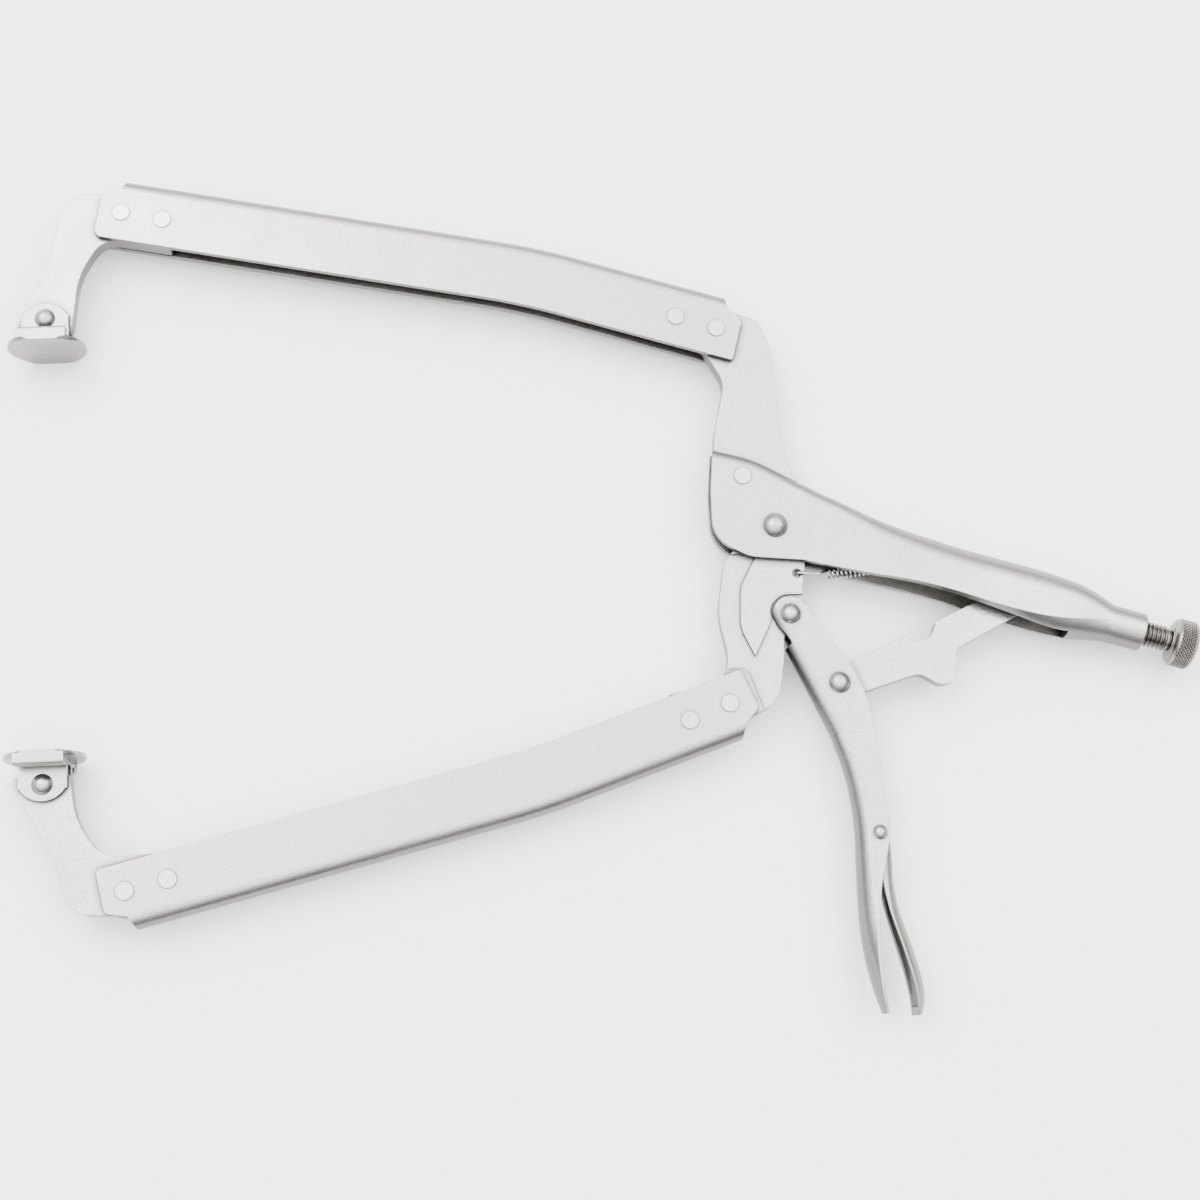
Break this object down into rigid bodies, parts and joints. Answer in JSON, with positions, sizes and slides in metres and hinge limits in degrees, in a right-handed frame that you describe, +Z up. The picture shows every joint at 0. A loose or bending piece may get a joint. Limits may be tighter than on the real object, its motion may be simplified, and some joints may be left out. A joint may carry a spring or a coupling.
{
  "type": "locking c clamp",
  "caption": "Locking C clamp lying open: two channel arms with swivel pads, a fixed handle with adjusting screw, and a toggle closing lever with release trigger.",
  "frame": {"origin": "on the surface that the clamp lies on, under the middle of its bounding box", "axes": "+X from the pads towards the handle, +Y from the moving arm to the fixed arm, +Z up through the thickness of the clamp"},
  "size_m": [0.4272, 0.3184, 0.0252],
  "materials": {
    "nickel_sheet": "satin nickel plate over fine blasted steel sheet",
    "nickel_plate": "satin nickel plate over blanked steel plate",
    "rivet_bright": "smooth bright nickel-plated rivet heads",
    "rivet_flush": "satin nickel plate, peened flush",
    "pad_steel": "nickel-plated pressed pad, brushed working face",
    "screw_steel": "bright machined steel, rolled thread",
    "knob_steel": "bright steel, diamond knurl",
    "spring_steel": "drawn spring wire"
  },
  "bodies": {
    "fixed_handle": {"handle_shell": "nickel_sheet", "fixed_jaw_plate": "nickel_plate", "upper_arm_channel": "nickel_sheet", "upper_tip_plate": "nickel_plate", "upper_front_rivets": "rivet_flush", "upper_rear_rivets": "rivet_flush", "fixed_jaw_rivet": "rivet_flush", "main_pivot_rivet": "rivet_bright", "jaw_spring": "spring_steel"},
    "moving_jaw": {"moving_jaw_plate": "nickel_plate", "lower_arm_channel": "nickel_sheet", "lower_tip_plate": "nickel_plate", "lower_front_rivets": "rivet_flush", "lower_rear_rivets": "rivet_flush", "lever_pivot_rivet": "rivet_bright"},
    "closing_lever": {"lever_shell": "nickel_sheet", "link_pivot_rivet": "rivet_bright", "trigger_rivet": "rivet_bright"},
    "toggle_link": {"toggle_link": "nickel_plate"},
    "release_trigger": {"release_trigger": "nickel_sheet"},
    "fixed_pad": {"fixed_pad_bracket": "pad_steel", "fixed_pad_disc": "pad_steel", "fixed_pad_rivet": "rivet_bright"},
    "moving_pad": {"moving_pad_bracket": "pad_steel", "moving_pad_disc": "pad_steel", "moving_pad_rivet": "rivet_bright"},
    "screw_shank": {"adjusting_screw": "screw_steel"},
    "screw_knob": {"screw_knob": "knob_steel"}
  },
  "joints": [
    {"name": "jaw_pivot", "type": "hinge", "parent": "fixed_handle", "child": "moving_jaw", "pos_m": [0.0604, 0.0162, 0.0126], "axis": [0, 0, -1], "range_deg": [0, 28.5], "stiffness_Nm_per_rad": 0.35, "springref_deg": -17.19, "deforming": ["jaw_spring"]},
    {"name": "lever_pivot", "type": "hinge", "parent": "moving_jaw", "child": "closing_lever", "pos_m": [0.0634, -0.0166, 0.0126], "axis": [0, 0, 1], "range_deg": [0, 60.06]},
    {"name": "link_pivot", "type": "hinge", "parent": "closing_lever", "child": "toggle_link", "pos_m": [0.0789, -0.0425, 0.0126], "axis": [0, 0, 1], "range_deg": [-42.11, 0]},
    {"name": "trigger_pivot", "type": "hinge", "parent": "closing_lever", "child": "release_trigger", "pos_m": [0.0881, -0.0966, 0.0126], "axis": [0, 0, -1], "range_deg": [0, 5]},
    {"name": "fixed_pad_swivel", "type": "hinge", "parent": "fixed_handle", "child": "fixed_pad", "pos_m": [-0.1994, 0.1046, 0.0126], "axis": [0, 0, -1], "range_deg": [-18, 18]},
    {"name": "moving_pad_swivel", "type": "hinge", "parent": "moving_jaw", "child": "moving_pad", "pos_m": [-0.1994, -0.0649, 0.0126], "axis": [0, 0, 1], "range_deg": [-18, 18]},
    {"name": "screw_travel", "type": "slide", "parent": "fixed_handle", "child": "screw_shank", "axis": [0.9483, -0.3173, 0], "range_m": [0, 0.01905]},
    {"name": "screw_turn", "type": "hinge", "parent": "screw_shank", "child": "screw_knob", "pos_m": [0.2009, -0.0311, 0.0126], "axis": [0.9483, -0.3173, 0], "range_deg": [0, 4323]}
  ],
  "couplings": [
    {"joint": "lever_pivot", "follows": "jaw_pivot", "ratio": 2.09},
    {"joint": "link_pivot", "follows": "jaw_pivot", "ratio": -1.46},
    {"joint": "screw_turn", "follows": "screw_travel", "rad_per_m": 3957.9}
  ]
}
